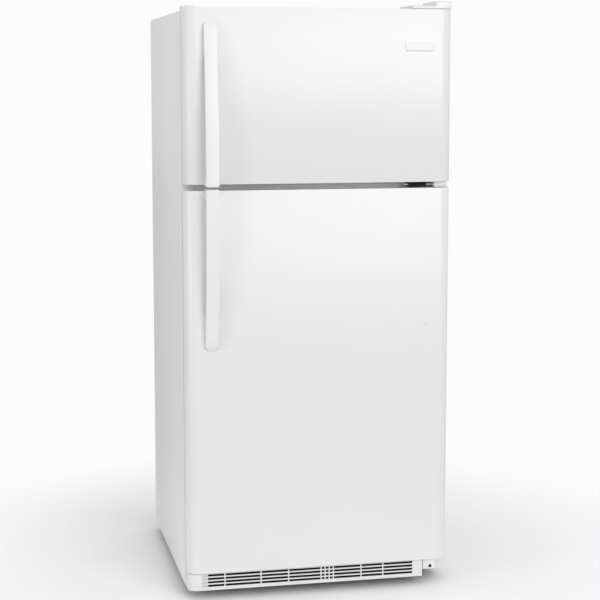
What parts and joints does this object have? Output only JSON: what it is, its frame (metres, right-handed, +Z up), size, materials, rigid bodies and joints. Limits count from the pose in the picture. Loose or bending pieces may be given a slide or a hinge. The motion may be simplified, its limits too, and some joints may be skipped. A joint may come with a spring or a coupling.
{
  "type": "top freezer refrigerator",
  "caption": "Top freezer refrigerator: insulated cabinet, two right-hung doors with bow handles, fitted rooms behind them, machine space at the foot.",
  "frame": {"origin": "on the floor, under the middle of the whole object", "axes": "+Z up; the doors face -Y; +X to the right as one faces the doors, the side of the hinges"},
  "size_m": [0.762, 0.794, 1.68],
  "materials": {
    "white_enamel": "semi-gloss enamel with a fine orange-peel texture",
    "white_plastic": "satin",
    "liner_plastic": "satin",
    "gasket_vinyl": "matt",
    "foam": "matt",
    "zinc_steel": "zinc plated",
    "black_enamel": "satin",
    "black_plastic": "matt",
    "aluminium": "mill finish",
    "shelf_glass": "polished",
    "clear_plastic": "clear, polished",
    "bulb_glass": "frosted",
    "grille_plastic": "satin",
    "fibreboard": "matt pressed board",
    "badge_metal": "polished"
  },
  "bodies": {
    "cabinet": {"outer_wrapper": "white_enamel", "rear_panel": "zinc_steel", "cabinet_foam": "foam", "freezer_liner": "liner_plastic", "fridge_liner": "liner_plastic", "centre_rail": "white_enamel", "base_frame": "black_enamel", "toe_grille": "grille_plastic", "top_hinge": "zinc_steel", "top_hinge_cover": "white_plastic", "top_left_plug": "white_plastic", "centre_hinge": "zinc_steel", "bottom_hinge": "zinc_steel", "evaporator_cover": "liner_plastic", "evaporator": "aluminium", "evaporator_fan_motor": "zinc_steel", "freezer_shelf": "white_plastic", "lower_shelf": "shelf_glass", "upper_shelf": "shelf_glass", "control_box": "white_plastic", "lamp": "bulb_glass", "crisper_cover": "shelf_glass", "compressor": "black_enamel", "condenser_coil": "black_enamel", "condenser_fan_motor": "zinc_steel", "drain_pan": "black_plastic", "machine_cover": "fibreboard"},
    "freezer_door": {"freezer_door_skin": "white_enamel", "freezer_door_top_cap": "white_plastic", "freezer_door_bottom_cap": "white_plastic", "freezer_door_foam": "foam", "freezer_door_liner": "liner_plastic", "freezer_door_gasket": "gasket_vinyl", "freezer_handle": "white_plastic", "freezer_door_lower_bin": "clear_plastic", "freezer_door_upper_bin": "clear_plastic", "nameplate": "badge_metal"},
    "fridge_door": {"fridge_door_skin": "white_enamel", "fridge_door_top_cap": "white_plastic", "fridge_door_bottom_cap": "white_plastic", "fridge_door_foam": "foam", "fridge_door_liner": "liner_plastic", "fridge_door_gasket": "gasket_vinyl", "fridge_handle": "white_plastic", "fridge_door_lower_bin": "clear_plastic", "fridge_door_upper_bin": "clear_plastic", "dairy_tray": "clear_plastic", "handle_hole_plug": "white_plastic"},
    "dairy_cover": {"dairy_cover": "clear_plastic"},
    "left_crisper": {"left_crisper": "clear_plastic"},
    "right_crisper": {"right_crisper": "clear_plastic"},
    "light_switch": {"light_switch": "white_plastic"},
    "freezer_control_knob": {"freezer_control_knob": "white_plastic"},
    "fridge_control_knob": {"fridge_control_knob": "white_plastic"},
    "evaporator_fan": {"evaporator_fan": "black_plastic"},
    "condenser_fan": {"condenser_fan": "black_plastic"},
    "rear_left_roller": {"rear_left_roller": "black_plastic"},
    "rear_right_roller": {"rear_right_roller": "black_plastic"},
    "left_levelling_leg": {"left_levelling_leg": "zinc_steel"},
    "right_levelling_leg": {"right_levelling_leg": "zinc_steel"}
  },
  "joints": [
    {"name": "freezer_door_hinge", "type": "hinge", "parent": "cabinet", "child": "freezer_door", "pos_m": [0.361, -0.333, 1.176], "axis": [0, 0, 1], "range_deg": [0, 135]},
    {"name": "fridge_door_hinge", "type": "hinge", "parent": "cabinet", "child": "fridge_door", "pos_m": [0.361, -0.333, 0.0775], "axis": [0, 0, 1], "range_deg": [0, 135]},
    {"name": "dairy_cover_hinge", "type": "hinge", "parent": "fridge_door", "child": "dairy_cover", "pos_m": [0, -0.2967, 0.995], "axis": [1, 0, 0], "range_deg": [0, 85]},
    {"name": "left_crisper_slide", "type": "slide", "parent": "cabinet", "child": "left_crisper", "axis": [0, -1, 0], "range_m": [0, 0.25]},
    {"name": "right_crisper_slide", "type": "slide", "parent": "cabinet", "child": "right_crisper", "axis": [0, -1, 0], "range_m": [0, 0.25]},
    {"name": "light_switch_slide", "type": "slide", "parent": "cabinet", "child": "light_switch", "axis": [0, -1, 0], "range_m": [0, 0.006]},
    {"name": "freezer_control_turn", "type": "hinge", "parent": "cabinet", "child": "freezer_control_knob", "pos_m": [-0.11, -0.187, 1.096], "axis": [0, -1, 0], "range_deg": [0, 270]},
    {"name": "fridge_control_turn", "type": "hinge", "parent": "cabinet", "child": "fridge_control_knob", "pos_m": [0.11, -0.187, 1.096], "axis": [0, -1, 0], "range_deg": [0, 270]},
    {"name": "evaporator_fan_spin", "type": "hinge", "parent": "cabinet", "child": "evaporator_fan", "pos_m": [0, 0.284, 1.517], "axis": [0, 1, 0], "continuous": true},
    {"name": "condenser_fan_spin", "type": "hinge", "parent": "cabinet", "child": "condenser_fan", "pos_m": [-0.071, 0.2835, 0.1325], "axis": [1, 0, 0], "continuous": true},
    {"name": "rear_left_roller_spin", "type": "hinge", "parent": "cabinet", "child": "rear_left_roller", "pos_m": [-0.347, 0.337, 0.025], "axis": [1, 0, 0], "continuous": true},
    {"name": "rear_right_roller_spin", "type": "hinge", "parent": "cabinet", "child": "rear_right_roller", "pos_m": [0.347, 0.337, 0.025], "axis": [1, 0, 0], "continuous": true},
    {"name": "left_levelling_leg_turn", "type": "hinge", "parent": "cabinet", "child": "left_levelling_leg", "pos_m": [-0.347, -0.185, 0], "axis": [0, 0, 1], "range_deg": [-360, 360]},
    {"name": "right_levelling_leg_turn", "type": "hinge", "parent": "cabinet", "child": "right_levelling_leg", "pos_m": [0.347, -0.185, 0], "axis": [0, 0, 1], "range_deg": [-360, 360]}
  ],
  "couplings": [
    {"joint": "left_crisper_slide", "follows": "fridge_door_hinge", "m_per_rad": 0.105},
    {"joint": "right_crisper_slide", "follows": "fridge_door_hinge", "m_per_rad": 0.105},
    {"joint": "light_switch_slide", "follows": "fridge_door_hinge", "m_per_rad": 0.0025}
  ]
}
